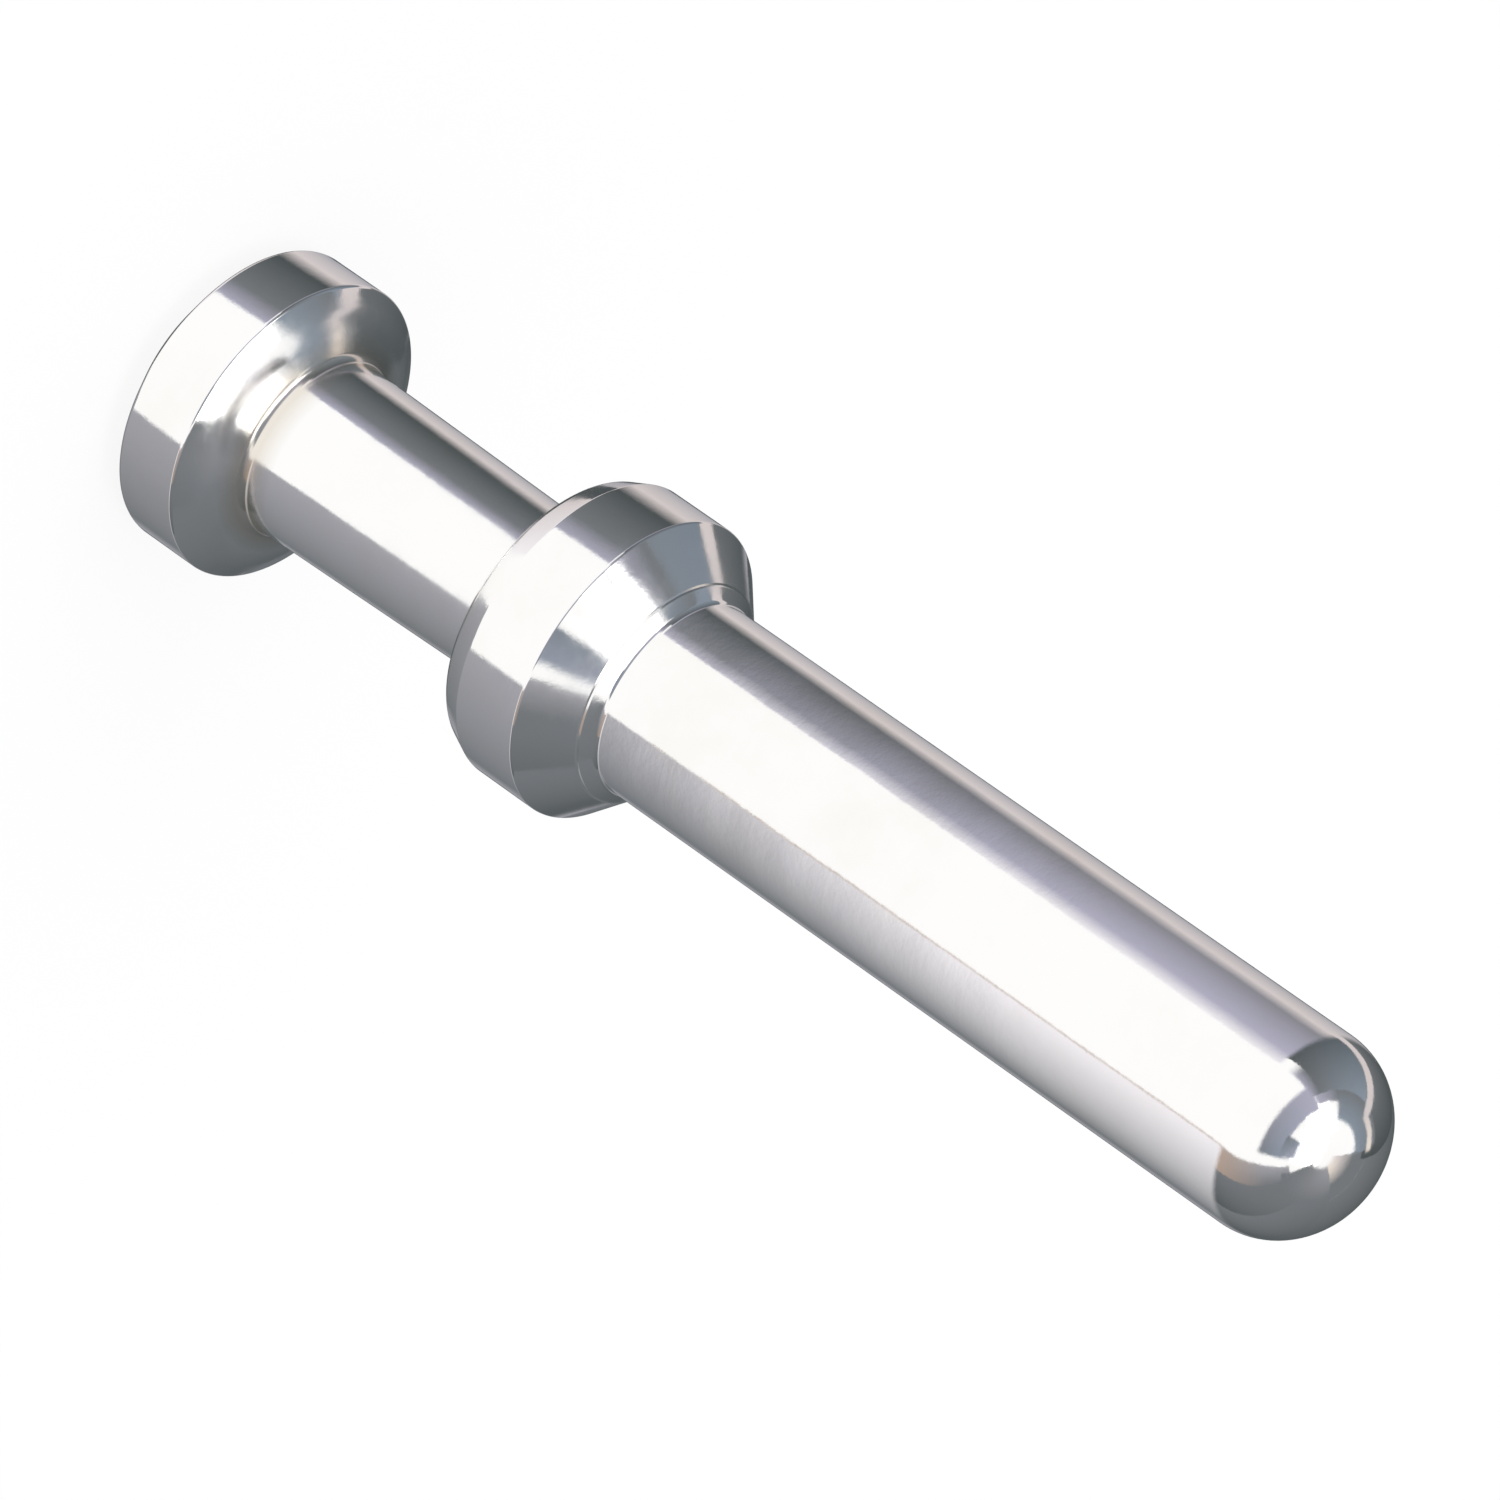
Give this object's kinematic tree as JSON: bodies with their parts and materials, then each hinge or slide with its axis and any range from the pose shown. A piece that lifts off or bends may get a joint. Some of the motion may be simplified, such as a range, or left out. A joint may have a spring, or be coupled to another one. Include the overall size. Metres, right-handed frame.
{
  "type": "crimp pin contact",
  "caption": "Turned crimp pin contact: round head with a blind wire bore, slim crimp neck, locking collar and straight pin with a rounded nose.",
  "frame": {"origin": "centre of the head's flat rear face, on which the contact stands", "axes": "+Z along the contact's axis, from the rear face to the tip of the pin"},
  "size_m": [0.0038, 0.0038, 0.018],
  "materials": {
    "silver_plating": "silver plated over turned brass, bright satin"
  },
  "bodies": {
    "root": {"pin_contact": "silver_plating"}
  },
  "joints": []
}
